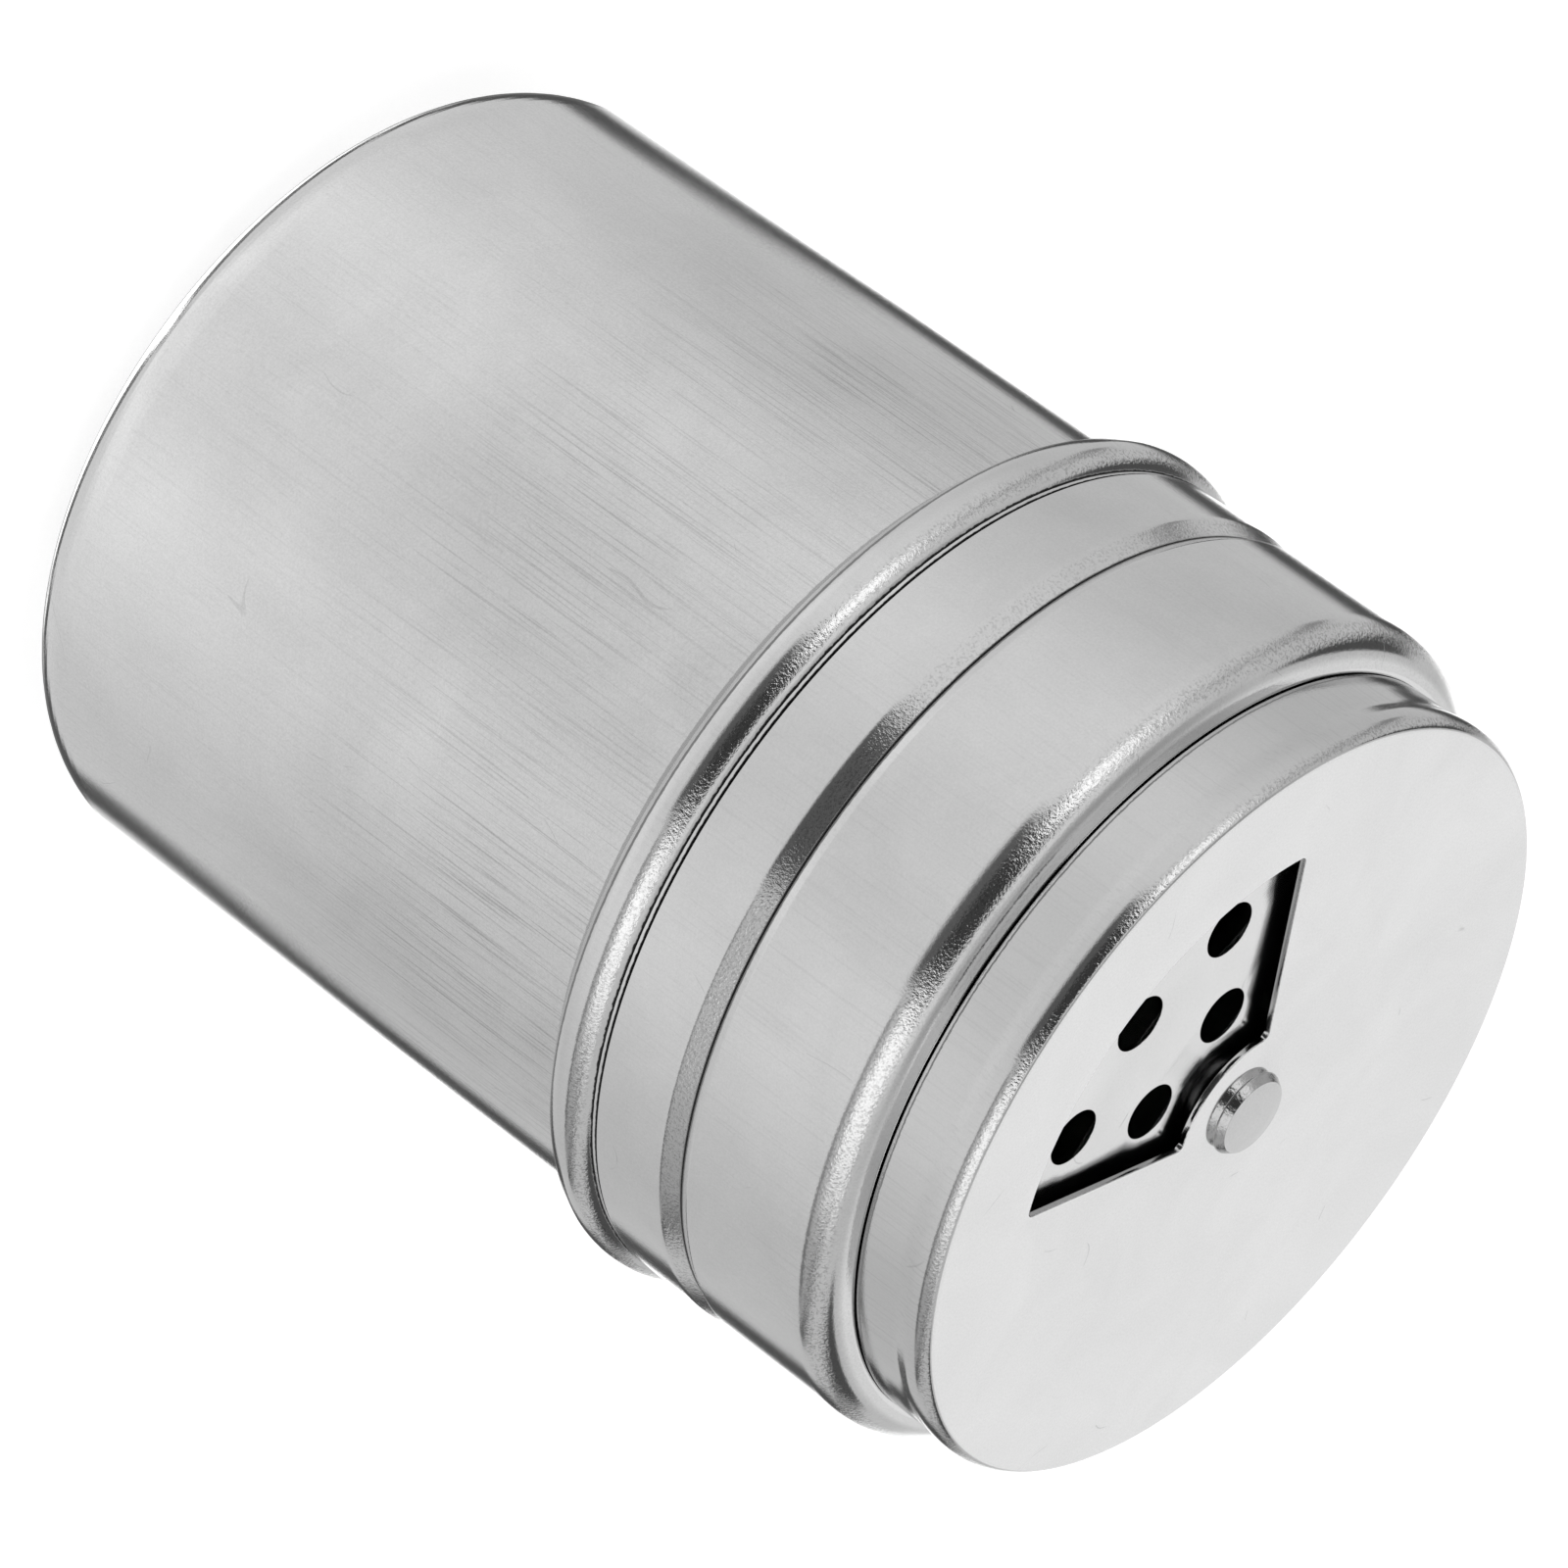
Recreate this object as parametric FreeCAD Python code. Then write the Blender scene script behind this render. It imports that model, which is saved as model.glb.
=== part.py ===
import FreeCAD, Part
import math
import os
from collections import namedtuple

# Spice shaker of drawn sheet steel, in millimetres. The origin is the centre of the
# base plane and +Z runs up the axis. The pour window faces -Y at rest.

# Can: a drawn cup with a necked top and a rim curled inwards.
can_radius = 30.0
can_sheet = 0.5
can_rim_height = 75.0
base_corner_radius = 6.0
base_ring_width = 4.0
base_recess = 1.0
neck_inset = 2.8
neck_length = 14.0
can_shoulder_rise = 2.4
can_shoulder_radius = 1.5
rim_curl_radius = 0.9
rim_curl_tail = 0.7

# Thread: one right-handed ridge on the can's neck and one inside the lid's liner.
thread_pitch = 3.0
thread_turns = 1.5
thread_crest_height = 0.9
thread_root_width = 1.5
thread_crest_width = 0.6
thread_rim_margin = 2.0
thread_clearance = 0.2

# Seal and liner, stacked on the can's rim.
seal_thickness = 0.9
seal_overhang = 0.2
seal_side_clearance = 0.15
liner_wall = 1.55
liner_flange = 1.3
liner_foot_gap = 1.5
seat_clearance = 0.05

# Lid: a shell pressed over a collar ring.
lid_sheet = 0.4
lid_inset = 0.1
lid_wall_height = 12.95
lid_shoulder_radius = 2.8
lid_shoulder_width = 3.7
lid_hem = 0.55
lid_hem_radius = 0.5
lid_neck_height = 5.2
lid_neck_root_radius = 0.7
plate_corner_radius = 1.2

# Collar ring: bead, band, groove and the lip inside the shell.
band_height = 5.9
band_corner_radius = 1.4
bead_radius = 2.1
bead_stand = 0.95
bead_crease_depth = 0.2
collar_clearance = 0.35
groove_depth = 0.8
groove_flank_height = 1.45
groove_gap = 0.2
lap_step = 0.6
lap_length = 1.6

# Rotating cap.
cap_sheet = 0.45
cap_side_clearance = 0.55
cap_skirt_gap = 0.2
cap_rim_stand = 0.22
cap_rim_height = 1.7
cap_rim_blend = 0.6
cap_rim_radius = 1.1
cap_hole_clearance = 0.08
axial_clearance = 0.05

# Window in the cap: straight sides that meet behind the axis, between two arcs.
window_rim_width = 8.1
window_half_angle = 39.0
window_apex_offset = 3.2
window_inner_offset = 1.7
window_washer_margin = 1.35
window_corner_radius = 0.5

# Patterns of the plate, a quarter turn apart. The cap stands a little short of
# the middle of the first one.
window_direction = -90.0
pattern_turn = 1.5
large_hole_radius = 2.05
large_outer_margin = 2.0
large_inner_margin = 1.85
large_outer_step = 30.0
large_inner_half_step = 27.5
small_hole_radius = 1.0
small_ring_shares = (0.0, 0.35, 0.7, 1.0)
small_ring_counts = (2, 3, 4, 5)
small_hole_spacing = 3.8
pour_margin = 1.7
pour_side_angle = 6.0
pour_corner_radius = 1.0

# Rivet and its washers.
rivet_shank_radius = 2.0
rivet_head_overhang = 0.07
rivet_head_thickness = 0.8
rivet_head_rounding = 0.3
rivet_tail_inset = 0.3
rivet_tail_thickness = 0.8
washer_rim_width = 1.0
washer_thickness = 0.7
washer_rounding = 0.25
washer_hole_clearance = 0.05

# Cuts run this far past the faces that they open.
overrun = 1.0

# Points nearer to each other than this are one point.
same_point = 0.000001

# Radii that follow from the can outwards.
base_ring_radius = can_radius - base_corner_radius - base_ring_width
neck_radius = can_radius - neck_inset
curl_inner_radius = neck_radius - rim_curl_radius - rim_curl_radius
seal_inner_radius = curl_inner_radius - seal_overhang
thread_crest_radius = neck_radius + thread_crest_height
liner_bore_radius = thread_crest_radius + thread_clearance
liner_outer_radius = liner_bore_radius + liner_wall
groove_root_radius = liner_outer_radius + seal_side_clearance + lid_sheet
band_radius = groove_root_radius + groove_depth
lid_radius = band_radius - lid_inset
shell_inner_radius = lid_radius - lid_sheet
lid_neck_radius = lid_radius - lid_shoulder_width
cap_radius = lid_neck_radius + cap_side_clearance + cap_sheet

# Radii that follow from the rivet outwards.
washer_hole_radius = rivet_shank_radius + washer_hole_clearance
cap_hole_radius = rivet_shank_radius + cap_hole_clearance
washer_radius = rivet_shank_radius + washer_rim_width
rivet_head_radius = washer_radius + rivet_head_overhang
rivet_tail_radius = washer_radius - rivet_tail_inset
window_nearest_radius = washer_radius + window_washer_margin
window_inner_radius = window_nearest_radius + window_inner_offset
window_outer_radius = cap_radius - window_rim_width

# Heights that follow from the stack on the can's rim.
neck_bottom = can_rim_height - neck_length
thread_height = can_rim_height - thread_rim_margin - thread_pitch * thread_turns
seal_bottom = can_rim_height + seat_clearance
seal_top = seal_bottom + seal_thickness
flange_bottom = seal_top + seat_clearance
liner_top = flange_bottom + liner_flange
shoulder_height = liner_top + seat_clearance + lid_sheet
shell_bottom = shoulder_height - lid_wall_height
plate_height = shoulder_height + lid_neck_height
plate_underside = plate_height - lid_sheet
cap_underside = plate_height + washer_thickness + axial_clearance
cap_face = cap_underside + cap_sheet
head_washer_bottom = cap_face + axial_clearance
head_bottom = head_washer_bottom + washer_thickness
back_washer_bottom = plate_underside - washer_thickness

# Heights of the collar ring, from the shell's lower edge down to the bead and up
# to the end of the lip.
groove_root_height = shell_bottom - groove_gap
band_top = groove_root_height - groove_flank_height
band_bottom = band_top - band_height
bead_height = band_bottom - bead_radius
lap_bottom = shell_bottom + lid_sheet + seat_clearance
lap_foot = lap_bottom + lap_step
lap_top = lap_foot + lap_length

ORIGIN = FreeCAD.Vector(0, 0, 0)
UP = FreeCAD.Vector(0, 0, 1)
Corner = namedtuple("Corner", "point radius")


def corner(r, z, radius=0.0):
    """A point of an outline in the plane through the axis, and its rounding."""
    return Corner(FreeCAD.Vector(r, 0, z), radius)


def arc_corners(centre_r, centre_z, radius, start_angle, end_angle):
    """Three corners whose rounding is the arc between two angles in degrees."""
    start = math.radians(start_angle)
    end = math.radians(end_angle)
    middle = (start + end) / 2
    reach = radius / math.cos((end - start) / 2)
    return [
        corner(centre_r + radius * math.cos(start), centre_z + radius * math.sin(start)),
        corner(centre_r + reach * math.cos(middle), centre_z + reach * math.sin(middle), radius),
        corner(centre_r + radius * math.cos(end), centre_z + radius * math.sin(end)),
    ]


def left_of(start, end):
    """Unit vector to the left of the way from start to end."""
    way = (end - start).normalize()
    return FreeCAD.Vector(-way.z, 0, way.x)


def turns_left(before, at, after):
    """True if the outline turns left at its middle point."""
    return left_of(before, at).dot(after - at) > 0


def offset_corners(corners, distance):
    """The outline moved to its left, with its roundings kept concentric."""
    points = [item.point for item in corners]
    moved = [Corner(points[0] + left_of(points[0], points[1]) * distance, 0.0)]
    for index in range(1, len(corners) - 1):
        before, at, after = points[index - 1:index + 2]
        first = left_of(before, at)
        second = left_of(at, after)
        shift = (first + second) * (distance / (1 + first.dot(second)))
        radius = corners[index].radius
        if radius > 0:
            change = -distance if turns_left(before, at, after) else distance
            radius = max(radius + change, 0.0)
        moved.append(Corner(at + shift, radius))
    moved.append(Corner(points[-1] + left_of(points[-2], points[-1]) * distance, 0.0))
    return moved


def rounded(before, at, after):
    """Start, middle and end of the arc that rounds a corner."""
    to_before = (before.point - at.point).normalize()
    to_after = (after.point - at.point).normalize()
    half = to_before.getAngle(to_after) / 2
    reach = at.radius / math.tan(half)
    depth = at.radius / math.sin(half) - at.radius
    bisector = (to_before + to_after).normalize()
    return at.point + to_before * reach, at.point + bisector * depth, at.point + to_after * reach


def straight(start, end):
    """A list with the edge between two points, or nothing if they meet."""
    if (end - start).Length < same_point:
        return []
    return [Part.makeLine(start, end)]


def path_edges(corners):
    """Edges of an open outline with its corners rounded."""
    edges = []
    here = corners[0].point
    for before, at, after in zip(corners, corners[1:], corners[2:]):
        if at.radius > 0:
            start, middle, end = rounded(before, at, after)
            edges += straight(here, start)
            edges.append(Part.Arc(start, middle, end).toShape())
            here = end
        else:
            edges += straight(here, at.point)
            here = at.point
    return edges + straight(here, corners[-1].point)


def closed_edges(corners):
    """Edges of a closed outline whose first corner is sharp."""
    return path_edges(corners + [corners[0]])


def turned(edges):
    """Solid of revolution of a closed outline about the axis."""
    face = Part.Face(Part.Wire(edges))
    return face.revolve(ORIGIN, UP, 360)


def turned_sheet(outline, thickness):
    """Turned sheet of even thickness, to the left of its outline."""
    inner = offset_corners(outline, thickness)
    edges = path_edges(outline)
    edges += straight(outline[-1].point, inner[-1].point)
    edges += path_edges(inner[::-1])
    edges += straight(inner[0].point, outline[0].point)
    return turned(edges)


def washer(bottom):
    """Washer with rounded outer edges that stands at the given height."""
    top = bottom + washer_thickness
    return turned(closed_edges([
        corner(washer_hole_radius, bottom),
        corner(washer_radius, bottom, washer_rounding),
        corner(washer_radius, top, washer_rounding),
        corner(washer_hole_radius, top),
    ]))


def thread_ridge(root_radius, crest_radius, first_height):
    """Helical ridge of trapezoid section, right-handed, from +X upwards."""
    helix = Part.makeHelix(thread_pitch, thread_pitch * thread_turns, root_radius)
    half_root = thread_root_width / 2
    half_crest = thread_crest_width / 2
    section = Part.makePolygon([
        FreeCAD.Vector(root_radius, 0, -half_root),
        FreeCAD.Vector(crest_radius, 0, -half_crest),
        FreeCAD.Vector(crest_radius, 0, half_crest),
        FreeCAD.Vector(root_radius, 0, half_root),
        FreeCAD.Vector(root_radius, 0, -half_root),
    ])
    ridge = Part.Wire(helix).makePipeShell([section], True, True)
    ridge.translate(UP * first_height)
    return ridge


def polar(radius, angle, height):
    """Point at a radius and an angle in degrees, at a height."""
    turn = math.radians(angle)
    return FreeCAD.Vector(radius * math.cos(turn), radius * math.sin(turn), height)


def prism(edges, bottom, top, rounding):
    """Upright prism on a closed outline in the XY plane, its upright edges rounded."""
    block = Part.Face(Part.Wire(edges)).extrude(UP * (top - bottom))
    block.translate(UP * bottom)
    upright = [edge for edge in block.Edges if edge.BoundBox.ZLength > (top - bottom) / 2]
    return block.makeFillet(rounding, upright)


def window_cutter():
    """Prism of the cap's window, facing -Y."""
    half = math.radians(window_half_angle)
    apex = window_apex_offset * math.cos(half)
    outer_reach = apex + math.sqrt(apex ** 2 - window_apex_offset ** 2 + window_outer_radius ** 2)
    lift = (window_apex_offset - window_inner_offset) * math.cos(half)
    sink = (window_apex_offset - window_inner_offset) ** 2 - window_inner_radius ** 2
    inner_reach = lift + math.sqrt(lift ** 2 - sink)
    side = FreeCAD.Vector(math.sin(half), -math.cos(half), 0)
    mirrored = FreeCAD.Vector(-side.x, side.y, 0)
    origin = FreeCAD.Vector(0, window_apex_offset, 0)
    inner_right = origin + side * inner_reach
    inner_left = origin + mirrored * inner_reach
    outer_right = origin + side * outer_reach
    outer_left = origin + mirrored * outer_reach
    inner_middle = FreeCAD.Vector(0, window_inner_offset - window_inner_radius, 0)
    outer_middle = FreeCAD.Vector(0, -window_outer_radius, 0)
    edges = [
        Part.Arc(inner_left, inner_middle, inner_right).toShape(),
        Part.makeLine(inner_right, outer_right),
        Part.Arc(outer_right, outer_middle, outer_left).toShape(),
        Part.makeLine(outer_left, inner_left),
    ]
    return prism(edges, cap_underside - overrun, cap_face + overrun, window_corner_radius)


def sector_cutter(direction):
    """Prism of the plate's pour opening."""
    inner_radius = window_nearest_radius + pour_margin
    outer_radius = window_outer_radius - pour_margin
    half_angle = window_half_angle - pour_side_angle
    first = direction - half_angle
    last = direction + half_angle
    inner = [polar(inner_radius, angle, 0) for angle in (first, direction, last)]
    outer = [polar(outer_radius, angle, 0) for angle in (last, direction, first)]
    edges = [
        Part.Arc(*inner).toShape(),
        Part.makeLine(inner[2], outer[0]),
        Part.Arc(*outer).toShape(),
        Part.makeLine(outer[2], inner[0]),
    ]
    return prism(edges, plate_underside - overrun, plate_height + overrun, pour_corner_radius)


def plate_hole(radius, pitch_radius, angle):
    """Cutter of one round hole of the plate."""
    height = lid_sheet + overrun + overrun
    return Part.makeCylinder(radius, height, polar(pitch_radius, angle, plate_underside - overrun))


def pattern_direction(quarter):
    """Direction of the plate's pattern that is some quarter turns past the first."""
    return window_direction + pattern_turn + 90 * quarter


def large_holes(direction):
    """Five large holes: three on the outer arc and two on the inner one."""
    outer_radius = window_outer_radius - large_outer_margin - large_hole_radius
    inner_radius = window_nearest_radius + large_inner_margin + large_hole_radius
    outer = [direction + step * large_outer_step for step in (-1, 0, 1)]
    inner = [direction + side * large_inner_half_step for side in (-1, 1)]
    holes = [plate_hole(large_hole_radius, outer_radius, angle) for angle in outer]
    return holes + [plate_hole(large_hole_radius, inner_radius, angle) for angle in inner]


def small_holes(direction):
    """Arcs of small holes, with one more hole on each arc further out."""
    inner_radius = window_nearest_radius + large_inner_margin + small_hole_radius
    outer_radius = window_outer_radius - pour_margin - small_hole_radius
    holes = []
    for share, count in zip(small_ring_shares, small_ring_counts):
        pitch_radius = inner_radius + (outer_radius - inner_radius) * share
        step = math.degrees(small_hole_spacing / pitch_radius)
        first = direction - step * (count - 1) / 2
        for index in range(count):
            holes.append(plate_hole(small_hole_radius, pitch_radius, first + step * index))
    return holes


def can_body():
    """Drawn cup: recessed base, straight wall, neck, thread ridge and curled rim."""
    cup = turned_sheet([
        corner(0, base_recess),
        corner(base_ring_radius - base_recess, base_recess, can_sheet),
        corner(base_ring_radius, 0, can_sheet),
        corner(can_radius, 0, base_corner_radius),
        corner(can_radius, neck_bottom - can_shoulder_rise, can_shoulder_radius),
        corner(neck_radius, neck_bottom, can_shoulder_radius),
        corner(neck_radius, can_rim_height, rim_curl_radius),
        corner(curl_inner_radius, can_rim_height, rim_curl_radius),
        corner(curl_inner_radius, can_rim_height - rim_curl_radius - rim_curl_tail),
    ], can_sheet)
    ridge_root = neck_radius - can_sheet / 2
    return cup.fuse(thread_ridge(ridge_root, thread_crest_radius, thread_height))


def collar_ring():
    """Bead beside the can, crease, band, V-groove and the lip inside the shell."""
    bead_centre_radius = band_radius + bead_stand - bead_radius
    lower_lip = can_radius + collar_clearance - bead_centre_radius
    upper_end = band_radius - bead_crease_depth - bead_centre_radius
    lower_angle = -math.degrees(math.acos(lower_lip / bead_radius))
    upper_angle = math.degrees(math.acos(upper_end / bead_radius))
    lip_radius = shell_inner_radius - seat_clearance
    outline = arc_corners(bead_centre_radius, bead_height, bead_radius, lower_angle, upper_angle)
    outline += [
        corner(band_radius, band_bottom),
        corner(band_radius, band_top, band_corner_radius),
        corner(groove_root_radius, groove_root_height),
        corner(groove_root_radius, lap_bottom),
        corner(lip_radius, lap_foot),
        corner(lip_radius, lap_top),
    ]
    return turned_sheet(outline, lid_sheet)


def lid_shell():
    """Straight wall with a turned-in hem, shoulder, neck and perforated plate."""
    shell = turned_sheet([
        corner(lid_radius - lid_hem, shell_bottom),
        corner(lid_radius, shell_bottom, lid_hem_radius),
        corner(lid_radius, shoulder_height, lid_shoulder_radius),
        corner(lid_neck_radius, shoulder_height, lid_neck_root_radius),
        corner(lid_neck_radius, plate_height, plate_corner_radius),
        corner(0, plate_height),
    ], lid_sheet)
    shank_hole = plate_hole(washer_hole_radius, 0, 0)
    cutters = large_holes(pattern_direction(0)) + small_holes(pattern_direction(1))
    return shell.cut(cutters + [sector_cutter(pattern_direction(3)), shank_hole])


def thread_liner():
    """Plastic ring under the shell's shoulder, with a flange over the seal."""
    top_radius = shell_inner_radius - seat_clearance
    bottom = neck_bottom + liner_foot_gap
    step_height = lap_top + seat_clearance
    chamfer = lid_shoulder_radius - lid_sheet
    ring = turned(closed_edges([
        corner(liner_bore_radius, bottom),
        corner(liner_outer_radius, bottom),
        corner(liner_outer_radius, step_height),
        corner(top_radius, step_height),
        corner(top_radius, liner_top - chamfer),
        corner(top_radius - chamfer, liner_top),
        corner(seal_inner_radius, liner_top),
        corner(seal_inner_radius, flange_bottom),
        corner(liner_bore_radius, flange_bottom),
    ]))
    ridge_crest = liner_bore_radius - thread_crest_height
    ridge_root = liner_bore_radius + thread_clearance
    return ring.fuse(thread_ridge(ridge_root, ridge_crest, thread_height - thread_pitch / 2))


def seal_gasket():
    """Flat soft ring between the can's rim and the liner's flange."""
    outer_radius = liner_bore_radius - seal_side_clearance
    return turned(closed_edges([
        corner(seal_inner_radius, seal_bottom),
        corner(outer_radius, seal_bottom),
        corner(outer_radius, seal_top),
        corner(seal_inner_radius, seal_top),
    ]))


def rotating_cap():
    """Shallow cap with a slightly wider rim, a window and the rivet's hole."""
    rim_radius = cap_radius + cap_rim_stand
    rim_bottom = cap_face - cap_rim_height
    cap = turned_sheet([
        corner(cap_radius, shoulder_height + cap_skirt_gap),
        corner(cap_radius, rim_bottom - cap_rim_blend),
        corner(rim_radius, rim_bottom),
        corner(rim_radius, cap_face, cap_rim_radius),
        corner(0, cap_face),
    ], cap_sheet)
    height = cap_sheet + overrun + overrun
    hole = Part.makeCylinder(cap_hole_radius, height, UP * (cap_underside - overrun))
    return cap.cut([window_cutter(), hole])


def rivet():
    """Button head, shank and the tail clenched under the back washer."""
    head_top = head_bottom + rivet_head_thickness
    tail_bottom = back_washer_bottom - rivet_tail_thickness
    return turned(closed_edges([
        corner(0, tail_bottom),
        corner(rivet_tail_radius, tail_bottom, rivet_tail_thickness / 2),
        corner(rivet_tail_radius, back_washer_bottom),
        corner(rivet_shank_radius, back_washer_bottom),
        corner(rivet_shank_radius, head_bottom),
        corner(rivet_head_radius, head_bottom, rivet_head_rounding),
        corner(rivet_head_radius, head_top, rivet_head_rounding),
        corner(0, head_top),
    ]))


def head_washer():
    """Washer between the rivet's head and the cap."""
    return washer(head_washer_bottom)


def spacer_washer():
    """Washer that carries the cap above the plate."""
    return washer(plate_height)


def back_washer():
    """Washer under the plate, behind the clenched tail."""
    return washer(back_washer_bottom)


pieces = (
    can_body,
    collar_ring,
    lid_shell,
    thread_liner,
    seal_gasket,
    rotating_cap,
    rivet,
    head_washer,
    spacer_washer,
    back_washer,
)

os.makedirs("parts", exist_ok=True)
for piece in pieces:
    solid = piece().removeSplitter()
    solid.exportStep("parts/" + piece.__name__ + ".step")
    print(piece.__name__, solid.ShapeType, len(solid.Solids), solid.isValid(), round(solid.Volume, 3))
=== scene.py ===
"""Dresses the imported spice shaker: drawn steel shells, rivet, inner parts and a white studio.

Every length is in metres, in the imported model's own frame, with +Z up the axis.
"""

import logging
import math
from dataclasses import dataclass
from enum import Enum
from typing import Any, Sequence, Union

import bpy
import numpy as np
from mathutils import Matrix, Vector
from mathutils.geometry import delaunay_2d_cdt


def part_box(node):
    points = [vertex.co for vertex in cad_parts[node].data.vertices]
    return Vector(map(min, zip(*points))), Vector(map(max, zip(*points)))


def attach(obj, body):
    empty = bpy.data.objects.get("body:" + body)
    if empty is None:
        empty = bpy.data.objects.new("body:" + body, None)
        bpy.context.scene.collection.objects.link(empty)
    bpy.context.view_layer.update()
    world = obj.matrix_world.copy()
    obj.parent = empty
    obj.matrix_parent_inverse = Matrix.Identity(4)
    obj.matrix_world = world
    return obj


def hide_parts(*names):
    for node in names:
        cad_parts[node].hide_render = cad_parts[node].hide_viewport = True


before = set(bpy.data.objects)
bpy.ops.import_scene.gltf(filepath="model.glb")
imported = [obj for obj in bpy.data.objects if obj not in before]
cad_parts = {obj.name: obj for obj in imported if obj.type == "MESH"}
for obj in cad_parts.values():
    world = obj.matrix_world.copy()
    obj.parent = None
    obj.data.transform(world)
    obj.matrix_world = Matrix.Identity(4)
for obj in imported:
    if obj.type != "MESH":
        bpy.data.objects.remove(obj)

MM = 0.001
ARC_STEP = math.radians(6.0)
TURN_STEPS = 384
SUPPORT = 0.12 * MM
SHARP_ANGLE = math.radians(32.0)

Array = np.ndarray
Piece = bpy.types.Object
Material = bpy.types.Material
Operand = Union["Number", float]
Span = tuple[float, float, float, float]


class Body(str, Enum):
    """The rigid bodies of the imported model."""

    CAN = "can"
    SEAL = "seal"
    LID = "lid"
    CAP = "cap"


class Slot(str, Enum):
    """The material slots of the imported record."""

    CAN = "can_steel"
    LID = "lid_steel"
    CAP = "cap_steel"
    RIVET = "rivet_steel"
    LINER = "liner_plastic"
    SEAL = "seal_rubber"


# Outlines


@dataclass(frozen=True)
class Corner:
    """A point of an outline in the plane through the axis, and its rounding."""

    r: float
    z: float
    rounding: float = 0.0

    @property
    def point(self) -> Array:
        """The corner as an array of two numbers."""
        return np.array([self.r, self.z])


def unit(vector: Array) -> Array:
    """The vector scaled to length one."""
    return vector / np.linalg.norm(vector)


def left_of(start: Array, end: Array) -> Array:
    """Unit vector to the left of the way from start to end."""
    way = unit(end - start)
    return np.array([-way[1], way[0]])


def arc(centre: Array, radius: float, first: float, last: float, step: float = ARC_STEP) -> Array:
    """Points of an arc: centre plus radius times (cos, sin) of even angles in radians, a step or less apart."""
    angles = np.linspace(first, last, max(2, math.ceil(abs(last - first) / step) + 1))
    return centre + radius * np.column_stack((np.cos(angles), np.sin(angles)))


def arc_corners(centre: Corner, radius: float, first: float, last: float) -> list[Corner]:
    """An arc as three corners: its start, where its two tangents meet, and its end.

    Args:
        centre: The arc's centre.
        radius: Its radius.
        first: Angle of its start in radians.
        last: Angle of its end.

    Returns:
        The corners.
    """
    reach = radius / math.cos((last - first) / 2)
    spots = ((first, radius, 0.0), ((first + last) / 2, reach, radius), (last, radius, 0.0))
    return [Corner(centre.r + far * math.cos(angle), centre.z + far * math.sin(angle), rounding)
            for angle, far, rounding in spots]


@dataclass(frozen=True)
class Outline:
    """An open run of corners, rounded where a corner says so."""

    corners: tuple[Corner, ...]

    def offset(self, distance: float) -> "Outline":
        """The outline moved to its left, with its roundings kept concentric.

        Args:
            distance: How far it moves.

        Returns:
            The moved outline.
        """
        points = [corner.point for corner in self.corners]
        moved = [points[0] + left_of(points[0], points[1]) * distance]
        roundings = [0.0]
        for before, at, after, corner in zip(points, points[1:], points[2:], self.corners[1:]):
            first, second = left_of(before, at), left_of(at, after)
            moved.append(at + (first + second) * (distance / (1 + first @ second)))
            change = -math.copysign(distance, first @ (after - at))
            roundings.append(max(corner.rounding + change, 0.0) if corner.rounding > 0 else 0.0)
        moved.append(points[-1] + left_of(points[-2], points[-1]) * distance)
        roundings.append(0.0)
        return Outline(tuple(Corner(*point, rounding) for point, rounding in zip(moved, roundings)))

    def sampled(self) -> Array:
        """Rows of radius and height along the outline, with tangent arcs at the rounded corners."""
        first, *_, last = points = [corner.point[None] for corner in self.corners]
        bends = [rounded_corner(before[0], at, after[0])
                 for before, at, after in zip(points, self.corners[1:], points[2:])]
        return supported(np.concatenate([first, *bends, last]))


def rounded_corner(before: Array, at: Corner, after: Array) -> Array:
    """The arc tangent to both sides of a corner, or the corner itself where it is sharp.

    Args:
        before: The point before it.
        at: The corner.
        after: The point after it.

    Returns:
        The arc's points.
    """
    if at.rounding <= 0:
        return at.point[None]
    to_before, to_after = unit(before - at.point), unit(after - at.point)
    half = math.acos(np.clip(to_before @ to_after, -1.0, 1.0)) / 2
    centre = at.point + unit(to_before + to_after) * (at.rounding / math.sin(half))
    start = at.point + to_before * (at.rounding / math.tan(half)) - centre
    end = at.point + to_after * (at.rounding / math.tan(half)) - centre
    first = math.atan2(start[1], start[0])
    sweep = math.atan2(start[0] * end[1] - start[1] * end[0], start @ end)
    return arc(centre, at.rounding, first, first + sweep)


def supported(points: Array) -> Array:
    """A run with a point added near both ends of each long stretch, which keeps shading even.

    Args:
        points: The run's points.

    Returns:
        The points with the added ones, without repeated ones.
    """
    keep = np.append(True, np.linalg.norm(np.diff(points, axis=0), axis=1) > 1e-7)
    points = points[keep]
    lengths = np.linalg.norm(np.diff(points, axis=0), axis=1)
    along = np.append(0.0, np.cumsum(lengths))
    long = lengths > 4 * SUPPORT
    extra = np.concatenate((along[:-1][long] + SUPPORT, along[1:][long] - SUPPORT))
    places = np.sort(np.concatenate((along, extra)))
    return np.column_stack([np.interp(places, along, column) for column in points.T])


# Openings of a flat


@dataclass(frozen=True)
class RoundHole:
    """A round hole through a flat."""

    x: float
    y: float
    radius: float

    def loop(self, outward: float) -> Array:
        """The hole's edge moved outward: a circle about its centre, anticlockwise."""
        count = max(40, round(self.radius / (0.08 * MM)))
        turn = math.tau / count
        return arc(np.array([self.x, self.y]), self.radius + outward, 0.0, math.tau - turn, turn)


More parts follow.
